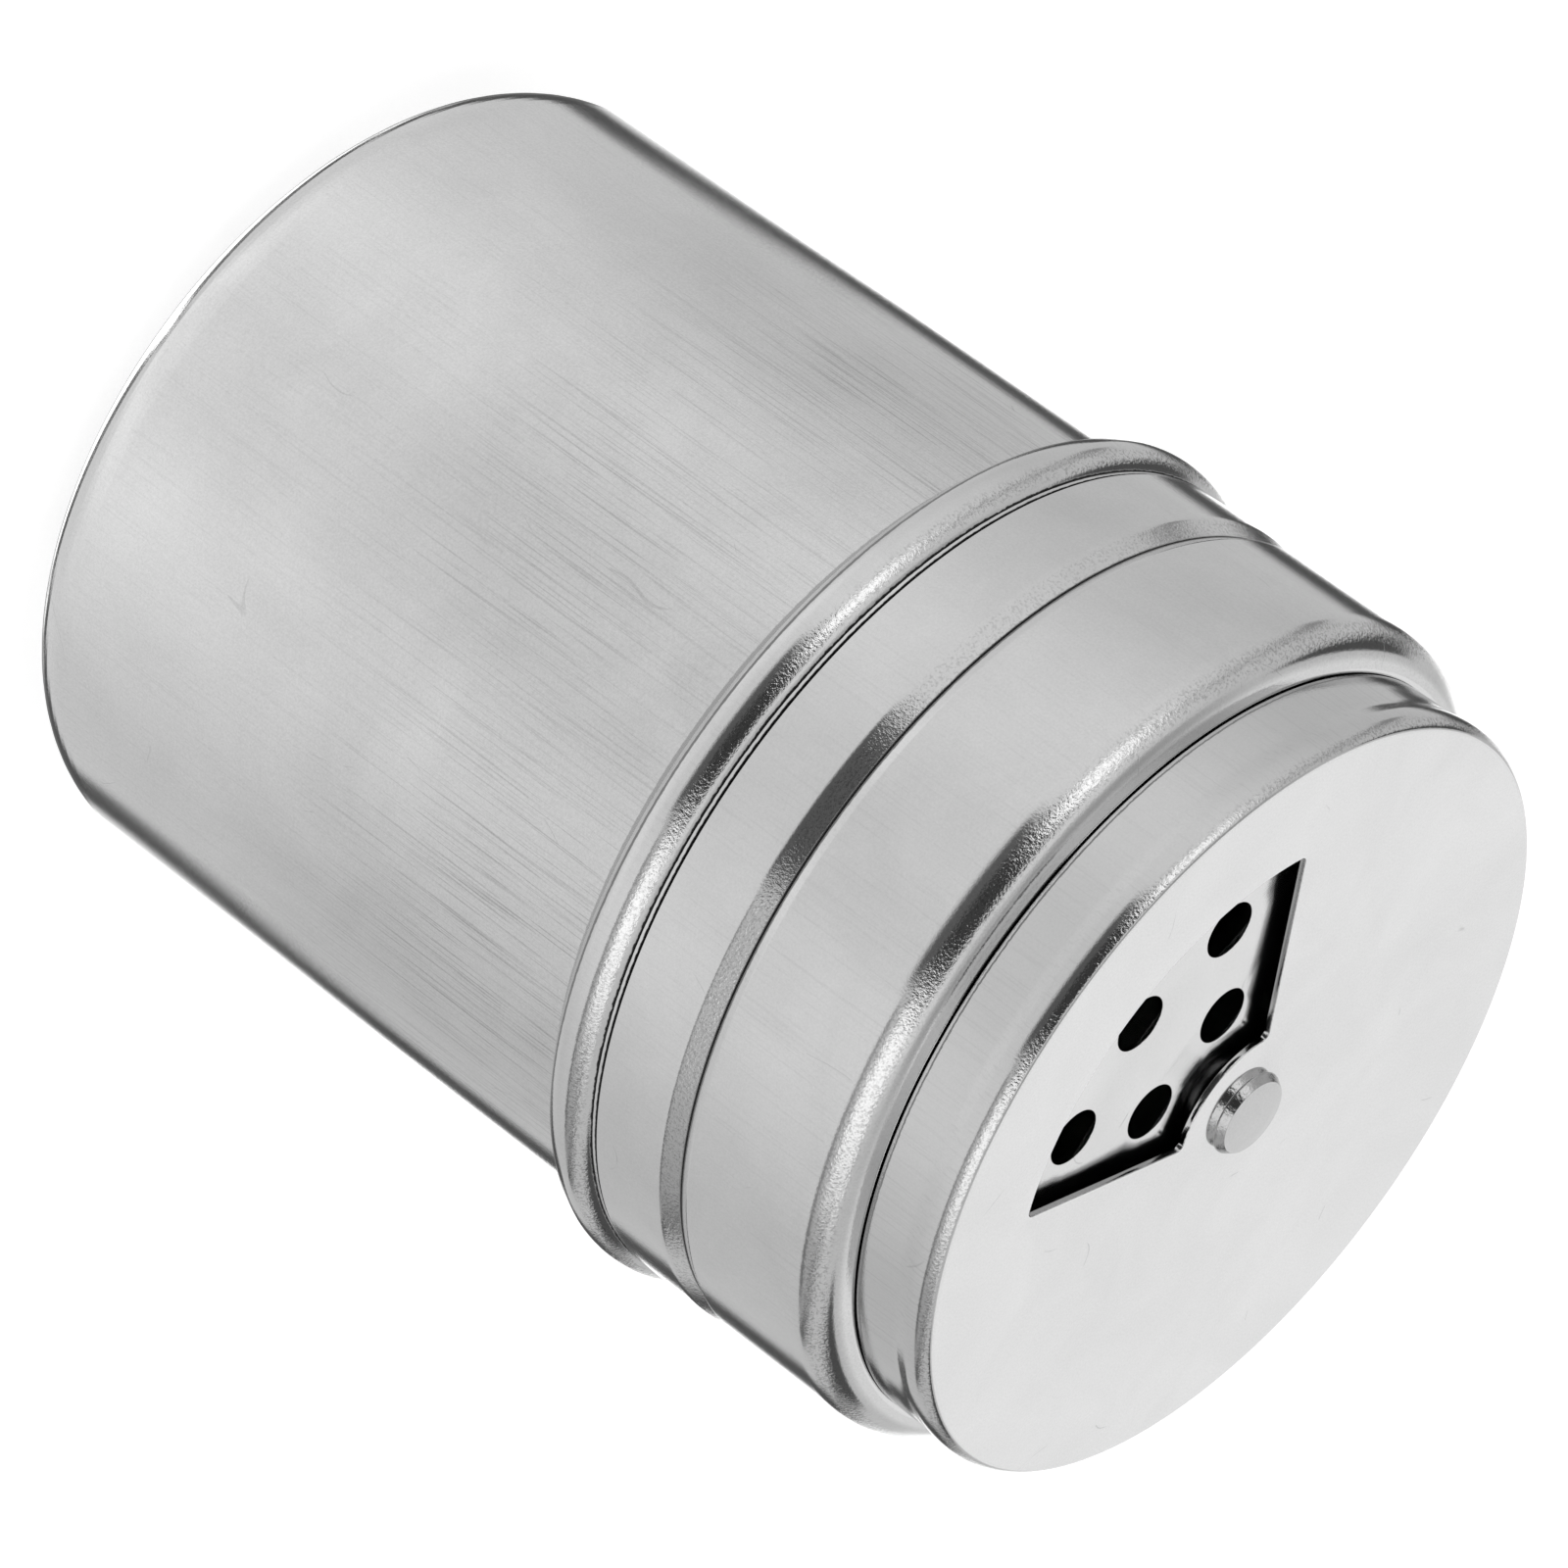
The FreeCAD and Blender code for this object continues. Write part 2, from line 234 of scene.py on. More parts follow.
@dataclass(frozen=True)
class SectorHole:
    """A hole with two straight sides that meet at an apex, between two arcs, with rounded corners."""

    direction: float
    half_angle: float
    inner_radius: float
    outer_radius: float
    rounding: float
    apex_offset: float = 0.0
    inner_offset: float = 0.0

    def corner_centre(self, circle_x: float, radius: float) -> Array:
        """Where the side moved inwards by the rounding meets a circle on the middle line.

        Args:
            circle_x: Place of the circle's centre on that line.
            radius: Radius of the circle.

        Returns:
            The centre of the left corner's rounding.
        """
        side = np.array([math.cos(self.half_angle), math.sin(self.half_angle)])
        normal = np.array([-side[1], side[0]])
        start = np.array([-self.apex_offset - circle_x, 0.0]) - normal * self.rounding
        along = -start @ side + math.sqrt((start @ side) ** 2 - start @ start + radius**2)
        return start + side * along + np.array([circle_x, 0.0])

    def loop(self, outward: float) -> Array:
        """The hole's edge moved outward, anticlockwise: two arcs and four rounded corners.

        Args:
            outward: How far the edge moves into the sheet.

        Returns:
            One row of x and y for each point.
        """
        inner_middle = np.array([-self.inner_offset, 0.0])
        outer = self.corner_centre(0.0, self.outer_radius - self.rounding)
        inner = self.corner_centre(-self.inner_offset, self.inner_radius + self.rounding)
        normal = math.pi / 2 + self.half_angle
        outer_angle = math.atan2(outer[1], outer[0])
        to_middle = inner_middle - inner
        inner_angle = math.atan2(to_middle[1], to_middle[0]) % math.tau
        corner = self.rounding + outward
        fine = ARC_STEP / 3
        arc_angle = inner_angle - math.pi
        mirror = np.array([1.0, -1.0])
        upper = np.concatenate((
            arc(outer, corner, outer_angle, normal, ARC_STEP * 2),
            arc(inner, corner, normal, inner_angle, ARC_STEP * 2),
        ))
        loop = np.concatenate((
            arc(np.zeros(2), self.outer_radius + outward, -outer_angle, outer_angle, fine),
            upper,
            arc(inner_middle, self.inner_radius - outward, arc_angle, -arc_angle, fine),
            (upper * mirror)[::-1],
        ))
        distinct = np.linalg.norm(loop - np.roll(loop, 1, axis=0), axis=1) > 1e-8
        turn = np.array([
            [math.cos(self.direction), math.sin(self.direction)],
            [-math.sin(self.direction), math.cos(self.direction)],
        ])
        return loop[distinct] @ turn


Hole = Union[RoundHole, SectorHole]


# Meshes


class Shell:
    """Gathers the faces of one closed piece and writes them into a mesh."""

    def __init__(self) -> None:
        """Starts with no points and no faces."""
        self.points: list[Array] = []
        self.quads: list[Array] = []
        self.triangles: list[Array] = []
        self.count = 0

    def add(self, points: Array) -> Array:
        """Adds points.

        Args:
            points: Array whose last axis holds x, y and z.

        Returns:
            The points' numbers, in the shape of the other axes.
        """
        shape = points.shape[:-1]
        numbers = np.arange(self.count, self.count + int(np.prod(shape))).reshape(shape)
        self.points.append(points.reshape(-1, 3))
        self.count += numbers.size
        return numbers

    def strip(self, rows: Array, around: bool = True, closed: bool = False, flip: bool = False) -> None:
        """Quads between the neighbouring rows of a grid.

        Args:
            rows: Grid of point numbers, one row for each ring.
            around: Whether each row runs round to its start.
            closed: Whether the last row joins the first.
            flip: Whether the faces look the other way.
        """
        if around:
            rows = np.column_stack((rows, rows[:, :1]))
        if closed:
            rows = np.vstack((rows, rows[:1]))
        quads = np.stack((rows[:-1, :-1], rows[1:, :-1], rows[1:, 1:], rows[:-1, 1:]), axis=-1).reshape(-1, 4)
        self.quads.append(quads[:, ::-1] if flip else quads)

    def turned(self, section: Array, closed: bool = False) -> Array:
        """Surface of revolution: each point of the section carried round the axis in even steps.

        Args:
            section: Rows of radius and height, with the material on the right of the way.
            closed: Whether the section's end joins its start.

        Returns:
            Grid of point numbers, one row for each point.
        """
        angles = np.arange(TURN_STEPS) * (math.tau / TURN_STEPS)
        grid = np.stack((
            section[:, :1] * np.cos(angles),
            section[:, :1] * np.sin(angles),
            np.repeat(section[:, 1:], TURN_STEPS, axis=1),
        ), axis=-1)
        numbers = self.add(grid)
        self.strip(numbers, closed=closed)
        return numbers

    def flat(self, rim: Array, holes: Sequence[Array], upward: bool) -> None:
        """Fills a level rim with triangles and leaves the holes open.

        Args:
            rim: Point numbers of the outer edge.
            holes: Point numbers of each hole's edge.
            upward: Whether the faces look up.
        """
        numbers = np.concatenate([rim, *holes])
        places = np.concatenate(self.points)[numbers][:, :2] / MM
        ends = np.cumsum([len(loop) for loop in (rim, *holes)])
        loops = [part.tolist() for part in np.split(np.arange(len(numbers)), ends[:-1])]
        found = delaunay_2d_cdt([Vector(place) for place in places], [], loops, 1, 1e-7)
        sources = numbers[[source[0] for source in found[3]]]
        inside_rim_only = [face for face, source in zip(found[2], found[5]) if source == [0]]
        faces = sources[np.array(inside_rim_only)]
        self.triangles.append(faces if upward else faces[:, ::-1])

    def pierced(self, top_rim: Array, bottom_rim: Array, holes: Sequence[Hole], edge: float) -> None:
        """Fills the two faces of a flat sheet and gives each hole a wall between its softened edges.

        Args:
            top_rim: Point numbers round the upper face.
            bottom_rim: Point numbers round the lower face.
            holes: The holes.
            edge: Radius of the quarter circle by which a wall swings out at each face.
        """
        heights = np.concatenate(self.points)[:, 2]
        top, bottom = heights[top_rim[0]], heights[bottom_rim[0]]
        swing = np.linspace(0.0, math.pi / 2, 5)
        outward = np.concatenate((edge * (1 - np.sin(swing)), edge * (1 - np.cos(swing))))
        level = np.concatenate((top - edge * (1 - np.cos(swing)), bottom + edge * (1 - np.sin(swing))))
        upper_loops, lower_loops = [], []
        for hole in holes:
            loops = np.stack([hole.loop(distance) for distance in outward])
            rows = np.broadcast_to(level[:, None, None], (*loops.shape[:2], 1))
            numbers = self.add(np.concatenate((loops, rows), axis=-1))
            self.strip(numbers, flip=True)
            upper_loops.append(numbers[0])
            lower_loops.append(numbers[-1])
        self.flat(top_rim, upper_loops, True)
        self.flat(bottom_rim, lower_loops, False)

    def piece(self, name: str, node: str, body: Body, slot: Slot, material: Material) -> Piece:
        """Writes the gathered faces into a dressed piece, smooth with sharp hard edges.

        Args:
            name: The piece's name.
            node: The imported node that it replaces.
            body: The body that it rides on.
            slot: The record's material slot.
            material: Its finish.

        Returns:
            The piece.
        """
        quads = np.concatenate(self.quads)
        triangles = np.concatenate(self.triangles) if self.triangles else np.empty((0, 3), int)
        mesh = bpy.data.meshes.new(name)
        mesh.vertices.add(self.count)
        mesh.vertices.foreach_set("co", np.concatenate(self.points).astype(np.float32).ravel())
        corners = np.concatenate((quads.ravel(), triangles.ravel()))
        sizes = np.repeat((4, 3), (len(quads), len(triangles)))
        mesh.loops.add(len(corners))
        mesh.loops.foreach_set("vertex_index", corners.astype(np.int32))
        mesh.polygons.add(len(sizes))
        mesh.polygons.foreach_set("loop_start", np.append(0, np.cumsum(sizes)[:-1]).astype(np.int32))
        mesh.polygons.foreach_set("use_smooth", np.ones(len(sizes), bool))
        mesh.update(calc_edges=True)
        mesh.validate()
        mesh.set_sharp_from_angle(angle=SHARP_ANGLE)
        made = bpy.data.objects.new(name, mesh)
        bpy.context.scene.collection.objects.link(made)
        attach(made, body.value)
        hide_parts(node)
        return dress(made, material, slot)


# Shader maths


class Number:
    """A number socket of a node tree, which can be used in Python expressions."""

    def __init__(self, tree: "Tree", socket: bpy.types.NodeSocket) -> None:
        """Keeps the tree and the socket."""
        self.tree = tree
        self.socket = socket

    def maths(self, operation: str, *others: Operand) -> "Number":
        """This number and others through a Math node."""
        return self.tree.maths(operation, self, *others)

    def __add__(self, other: Operand) -> "Number":
        """The sum."""
        return self.maths("ADD", other)

    __radd__ = __add__

    def __sub__(self, other: Operand) -> "Number":
        """The difference."""
        return self.maths("SUBTRACT", other)

    def __rsub__(self, other: Operand) -> "Number":
        """The other value less this one."""
        return self.tree.maths("SUBTRACT", other, self)

    def __mul__(self, other: Operand) -> "Number":
        """The product."""
        return self.maths("MULTIPLY", other)

    __rmul__ = __mul__

    def __abs__(self) -> "Number":
        """The absolute value."""
        return self.maths("ABSOLUTE")

    def rise(self, low: float, high: float) -> "Number":
        """A soft step from 0 at low to 1 at high, or the other way round where low is the larger.

        Args:
            low: Where it starts.
            high: Where it ends.

        Returns:
            The step.
        """
        reverse = low > high
        first, last = (high, low) if reverse else (low, high)
        values = {"Value": self, "From Min": first, "From Max": last,
                  "To Min": float(reverse), "To Max": float(not reverse)}
        node = self.tree.node("ShaderNodeMapRange", {"interpolation_type": "SMOOTHSTEP"}, values)
        return Number(self.tree, node.outputs["Result"])

    def between(self, low: float, low_end: float, high_end: float, high: float) -> "Number":
        """One from low_end to high_end, with soft steps to zero at low and at high."""
        return self.rise(low, low_end) * self.rise(high, high_end)


class Tree:
    """A node tree with short ways to make nodes."""

    def __init__(self, owner: Union[Material, bpy.types.World]) -> None:
        """Empties the owner's node tree."""
        owner.use_nodes = True
        self.nodes = owner.node_tree.nodes
        self.links = owner.node_tree.links
        self.nodes.clear()

    def node(self, kind: str, settings: dict[str, Any] | None = None,
             values: dict[str | int, Any] | None = None) -> bpy.types.Node:
        """Makes one node: its settings first, then its inputs.

        Args:
            kind: The node's type.
            settings: Attributes of the node.
            values: A value, a Number or a socket for each input's name or number.

        Returns:
            The node.
        """
        made = self.nodes.new(kind)
        for name, value in (settings or {}).items():
            setattr(made, name, value)
        for name, value in (values or {}).items():
            if isinstance(value, Number):
                value = value.socket
            if isinstance(value, bpy.types.NodeSocket):
                self.links.new(value, made.inputs[name])
            else:
                made.inputs[name].default_value = value
        return made

    def maths(self, operation: str, *operands: Operand) -> Number:
        """A Math node on numbers."""
        node = self.node("ShaderNodeMath", {"operation": operation}, dict(enumerate(operands)))
        return Number(self, node.outputs[0])

    def upright(self, output: str) -> Number:
        """The upright part of the piece's own Object place or Normal."""
        source = self.node("ShaderNodeTexCoord").outputs[output]
        return Number(self, self.node("ShaderNodeSeparateXYZ", None, {"Vector": source}).outputs["Z"])

    def noise(self, size: float, length: float = 0.0, detail: float = 2.0, roughness: float = 0.5,
              distortion: float = 0.0, shift: Sequence[float] = (0.0, 0.0, 0.0)) -> Number:
        """Smooth noise from 0 to 1 in the piece's own coordinates.

        Args:
            size: Size of its patches in metres.
            length: Their size along the axis, where it is another.
            detail: How many finer layers it has.
            roughness: How strong the finer layers are.
            distortion: How far it is pulled about.
            shift: Moves the pattern, in patches.

        Returns:
            The noise.
        """
        source = self.node("ShaderNodeTexCoord").outputs["Object"]
        scale = (1 / size, 1 / size, 1 / (length or size))
        place = self.node("ShaderNodeMapping", None, {"Vector": source, "Scale": scale, "Location": shift})
        values = {"Vector": place.outputs["Vector"], "Scale": 1.0, "Detail": detail,
                  "Roughness": roughness, "Distortion": distortion}
        return Number(self, self.node("ShaderNodeTexNoise", None, values).outputs["Fac"])

    def surface(self, depth: Number, values: dict[str, Any]) -> None:
        """Ends a material with a Principled surface.

        Args:
            depth: How far the surface stands out, in metres, for its bump.
            values: Its other inputs.
        """
        bump = self.node("ShaderNodeBump", None, {"Strength": 1.0, "Distance": 1.0, "Height": depth})
        shader = self.node("ShaderNodeBsdfPrincipled", None, values | {"Normal": bump.outputs["Normal"]})
        self.node("ShaderNodeOutputMaterial", None, {"Surface": shader.outputs[0]})

    def mixed(self, factor: Operand, first: Any, second: Any) -> bpy.types.NodeSocket:
        """Two colours mixed by a factor."""
        values = {"Factor": factor, 6: first, 7: second}
        return self.node("ShaderNodeMix", {"data_type": "RGBA"}, values).outputs[2]


def grey(value: float) -> tuple[float, float, float, float]:
    """A neutral opaque colour."""
    return (value, value, value, 1.0)


# Finishes


@dataclass(frozen=True)
class ShadeLine:
    """A painted dark line round the piece, which stands in for shade in creases, grooves and under edges and
    for dark reflections.
    """

    height: float
    half_width: float
    colour: float = 0.05
    ragged: float = 0.06 * MM

    def mask(self, tree: Tree) -> Number:
        """One on the painted line and zero beside it: the height's distance from the line, roughened by noise.
        """
        away = abs(tree.upright("Object") - self.height + (tree.noise(0.4 * MM) - 0.5) * (2 * self.ragged))
        return away.rise(self.half_width * 1.3, self.half_width * 0.7)


@dataclass(frozen=True)
class DrawnSteel:
    """Drawn and brushed stainless steel: axial brush marks, fine grain, cloudy patches and hair scratches, with
    painted shade lines, painted light near the foot and painted light and shade on level upward faces.
    """

    name: str
    colour: float = 0.76
    # face_colour is the colour of level upward faces: painted light and shade that sets how bright the tops
    # look beside the walls.
    face_colour: float = 0.76
    shade: float = 0.42
    roughness: float = 0.1
    face_roughness: float = 0.2
    roughness_spread: float = 0.04
    anisotropy: float = 0.15
    grain_depth: float = 0.000006
    bend_grain_depth: float = 0.00003
    grain_size: float = 0.17 * MM
    grain_shade: float = 0.7
    bend_grain_size: float = 0.2 * MM
    bend_specks: float = 0.2
    brush_depth: float = 0.000003
    brush_width: float = 0.17 * MM
    brush_length: float = 12.0 * MM
    brush_shade: float = 0.35
    brush_from: float = 0.0
    cloud_size: float = 9.0 * MM
    cloud_shade: float = 0.5
    scratch_depth: float = 0.000003
    # foot_painted_light: painted light, how much lighter the colour gets towards the foot.
    foot_painted_light: float = 0.0
    flat_lift: tuple[float, float] = (0.93, 0.99)
    bend_lift: Span = (0.18, 0.42, 0.68, 0.8)
    worn_reach: float = 22.0 * MM
    foot_reach: tuple[float, float] = (34.0 * MM, 6.0 * MM)
    # Painted shade lines round the piece.
    shade_lines: tuple[ShadeLine, ...] = ()

    def material(self) -> Material:
        """Builds the finish.

        Returns:
            The material.
        """
        made = bpy.data.materials.new(self.name)
        tree = Tree(made)
        height, lift = tree.upright("Object"), tree.upright("Normal")
        flat, bend = lift.rise(*self.flat_lift), lift.between(*self.bend_lift)
        grain = tree.noise(self.grain_size, roughness=0.7)
        dents = tree.noise(self.bend_grain_size, roughness=0.6, shift=(1.7, 4.9, 6.2))
        brush = tree.noise(self.brush_width, self.brush_length, detail=3.0, roughness=0.6)
        patches = tree.noise(self.cloud_size, detail=5.0, roughness=0.6, distortion=0.5)
        worn = tree.noise(3 * self.cloud_size, 4 * self.cloud_size, detail=1.0, shift=(3.1, 7.7, 1.3))
        worn = worn.rise(0.3, 0.7) * height.rise(self.brush_from, self.brush_from + self.worn_reach)
        lines = brush.rise(0.5, 0.7) * (0.15 + worn * 0.85) * (1.0 - flat)
        hair = self.scratches(tree)
        depth = grain * self.grain_depth + (dents - 0.5) * bend * self.bend_grain_depth
        depth = depth + brush * (1.0 - flat) * (self.brush_depth * (0.3 + worn)) - hair * self.scratch_depth
        specks = dents.rise(0.5, 0.62) * bend * self.bend_specks
        # Painted light: the colour is lifted towards the foot, standing in for brighter reflections low on the
        # wall.
        foot = height.rise(*self.foot_reach) * self.foot_painted_light
        tone = 0.8 + (patches - 0.5) * self.cloud_shade + (grain - 0.5) * self.grain_shade
        tone = tone - lines * self.brush_shade - hair * 0.25 - specks + foot
        # Level upward faces take face_colour: painted light and shade.
        light = self.colour + flat * (self.face_colour - self.colour)
        colour = tree.mixed(self.shade + (light - self.shade) * tone, grey(0.0), grey(1.0))
        rough = self.roughness + flat * (self.face_roughness - self.roughness)
        rough = rough + (patches - 0.5) * self.roughness_spread + hair * 0.08
        # Painted shade lines: each one darkens the colour in its band and makes it rougher.
        for shade_line in self.shade_lines:
            mask = shade_line.mask(tree)
            colour = tree.mixed(mask, colour, grey(shade_line.colour))
            rough = rough + mask * 0.5
        tree.surface(depth, {"Base Color": colour, "Metallic": 1.0, "Roughness": rough,
                             "Anisotropic": self.anisotropy})
        return made

    def scratches(self, tree: Tree) -> Number:
        """Hair scratches: thin level lines of a wide noise, broken up by another noise.

        Args:
            tree: The material's tree.

        Returns:
            One on a scratch and zero elsewhere.
        """
        wide = tree.noise(1 / 130, 1 / 90, detail=0.0, distortion=0.3, shift=(5.2, 1.4, 9.6))
        line = abs(wide - 0.5).rise(0.0035, 0.0015)
        gaps = tree.noise(1 / 260, detail=1.0, shift=(2.9, 8.8, 4.1)).rise(0.62, 0.68)
        return line * gaps


@dataclass(frozen=True)
class MouldedPlastic:
    """Moulded plastic with a fine matt skin."""

    name: str
    colour: float
    roughness: float
    skin_depth: float

    def material(self) -> Material:
        """Builds the finish.

        Returns:
            The material.
        """
        made = bpy.data.materials.new(self.name)
        tree = Tree(made)
        cloud = tree.noise(1 / 150, detail=3.0)
        tree.surface(tree.noise(0.25 * MM) * self.skin_depth, {
            "Base Color": tree.mixed(cloud, grey(self.colour * 0.92), grey(self.colour)),
            "Roughness": self.roughness + (cloud - 0.5) * 0.12,
        })
        return made


# Sub-assemblies


def side(node: str) -> float:
    """Outer radius of a turned node."""
    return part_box(node)[1].x


def bottom(node: str) -> float:
    """Lowest height of a node."""
    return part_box(node)[0].z


def top(node: str) -> float:
    """Greatest height of a node."""
    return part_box(node)[1].z


def dress(piece: Piece, material: Material, slot: Slot) -> Piece:
    """Gives a piece its finish.

    Args:
        piece: The piece.
        material: Its finish.
        slot: The record's material slot; not used.

    Returns:
        The piece.
    """
    piece.data.materials.clear()
    piece.data.materials.append(material)
    return piece


@dataclass(frozen=True)
class PatternPlan:
    """Where the openings of the plate and the cap lie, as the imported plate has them."""

    window_direction: float = math.radians(-90.0)
    pattern_direction: float = math.radians(-88.5)
    half_angle: float = math.radians(39.0)
    window_outer: float = 20.3 * MM
    window_nearest: float = 4.35 * MM
    window_inner: float = 6.05 * MM
    inner_offset: float = 1.7 * MM
    apex_offset: float = 3.2 * MM
    window_rounding: float = 0.5 * MM
    large_radius: float = 2.05 * MM
    large_outer_margin: float = 2.0 * MM
    inner_margin: float = 1.85 * MM
    large_outer_step: float = math.radians(30.0)
    large_inner_step: float = math.radians(55.0)
    small_radius: float = 1.0 * MM
    small_shares: tuple[float, ...] = (0.0, 0.35, 0.7, 1.0)
    small_counts: tuple[int, ...] = (2, 3, 4, 5)
    small_spacing: float = 3.8 * MM
    pour_margin: float = 1.7 * MM
    pour_side: float = math.radians(6.0)
    pour_rounding: float = 1.0 * MM

    def window(self) -> SectorHole:
        """The cap's window."""
        return SectorHole(self.window_direction, self.half_angle, self.window_inner, self.window_outer,
                          self.window_rounding, self.apex_offset, self.inner_offset)

    def row(self, radius: float, pitch: float, direction: float, count: int, step: float) -> list[RoundHole]:
        """Round holes on an arc about the axis, an angular step apart and centred on a direction."""
        angles = [direction + step * (index - (count - 1) / 2) for index in range(count)]
        return [RoundHole(pitch * math.cos(angle), pitch * math.sin(angle), radius) for angle in angles]

    def large(self) -> list[RoundHole]:
        """The five large holes under the window: three on the outer arc and two on the inner one.

        Returns:
            The holes.
        """
        outer = self.window_outer - self.large_outer_margin - self.large_radius
        inner = self.window_nearest + self.inner_margin + self.large_radius
        return [*self.row(self.large_radius, outer, self.pattern_direction, 3, self.large_outer_step),
                *self.row(self.large_radius, inner, self.pattern_direction, 2, self.large_inner_step)]

    def small(self) -> list[RoundHole]:
        """Arcs of small holes a quarter turn on, with one more hole on each arc further out.

        Returns:
            The holes.
        """
        inner = self.window_nearest + self.inner_margin + self.small_radius
        outer = self.window_outer - self.pour_margin - self.small_radius
        direction = self.pattern_direction + math.pi / 2
        pitches = [inner + (outer - inner) * share for share in self.small_shares]
        return [hole for pitch, count in zip(pitches, self.small_counts)
                for hole in self.row(self.small_radius, pitch, direction, count, self.small_spacing / pitch)]

    def pour(self) -> SectorHole:
        """The plate's pour opening, three quarter turns on."""
        return SectorHole(self.pattern_direction + 1.5 * math.pi, self.half_angle - self.pour_side,
                          self.window_nearest + self.pour_margin, self.window_outer - self.pour_margin,
                          self.pour_rounding)


@dataclass
class Can:
    """The drawn cup with its neck, thread ridge and curled rim."""

    # Painted shade lines on the wall, given by the lid.
    shade_lines: tuple[ShadeLine, ...]
    sheet: float = 0.5 * MM
    base_rounding: float = 6.0 * MM
    ring_width: float = 4.0 * MM
    recess: float = 1.0 * MM
    recess_rounding: float = 0.5 * MM
    neck_inset: float = 2.8 * MM
    neck_length: float = 14.0 * MM
    shoulder_rise: float = 2.4 * MM
    shoulder_rounding: float = 1.5 * MM
    curl_radius: float = 0.9 * MM
    curl_tail: float = 0.7 * MM
    thread_pitch: float = 3.0 * MM
    thread_turns: float = 1.5
    thread_crest: float = 0.9 * MM
    thread_root_width: float = 1.5 * MM
    thread_crest_width: float = 0.6 * MM
    thread_margin: float = 2.0 * MM

    def build(self) -> Piece:
        """Builds and dresses the can.

        Returns:
            The piece.
        """
        radius, rim = side("can_body"), top("can_body")
        neck = radius - self.neck_inset
        neck_bottom = rim - self.neck_length
        ring = radius - self.base_rounding - self.ring_width
        curl = neck - 2 * self.curl_radius
        outline = Outline((
            Corner(ring - self.recess - 2 * self.recess_rounding, self.recess),
            Corner(ring - self.recess, self.recess, self.recess_rounding),
            Corner(ring, 0.0, self.recess_rounding),
            Corner(radius, 0.0, self.base_rounding),
            Corner(radius, neck_bottom - self.shoulder_rise, self.shoulder_rounding),
            Corner(neck, neck_bottom, self.shoulder_rounding),
            Corner(neck, rim, self.curl_radius),
            Corner(curl, rim, self.curl_radius),
            Corner(curl, rim - self.curl_radius - self.curl_tail),
        ))
        shell = Shell()
        section = np.concatenate((outline.offset(self.sheet).sampled(), outline.sampled()[::-1]))
        rows = shell.turned(section)
        shell.pierced(rows[0], rows[-1], (), 0.0)
        self.add_thread(shell, neck, rim)
        # foot_painted_light makes the can's colour lighter towards the foot: painted light.
        finish = DrawnSteel("can_steel", brush_shade=0.9, brush_from=22.0 * MM, brush_width=0.13 * MM,
                            foot_painted_light=0.3, cloud_size=14.0 * MM, cloud_shade=0.7, shade_lines=self.shade_lines)
        return shell.piece("can_cup", "can_body", Body.CAN, Slot.CAN, finish.material())

    def add_thread(self, shell: Shell, neck: float, rim: float) -> None:
        """Adds the ridge on the neck: a trapezoid up a right-handed helix, one pitch higher with each turn.

        Args:
            shell: The can's shell.
            neck: Radius of the neck.
            rim: Height of the rim.
        """
        start = rim - self.thread_margin - self.thread_pitch * self.thread_turns
        count = round(self.thread_turns * TURN_STEPS / 2)
        angles = np.linspace(0.0, math.tau * self.thread_turns, count)[:, None]
        radii = neck + np.array([-self.sheet / 2, self.thread_crest, self.thread_crest, -self.sheet / 2])
        half_root, half_crest = self.thread_root_width / 2, self.thread_crest_width / 2
        shifts = np.array([-half_root, -half_crest, half_crest, half_root])
        heights = start + angles / math.tau * self.thread_pitch + shifts
        numbers = shell.add(np.stack((np.cos(angles) * radii, np.sin(angles) * radii, heights), axis=-1))
        shell.strip(numbers)
        shell.quads.append(np.array([numbers[0], numbers[-1][::-1]]))


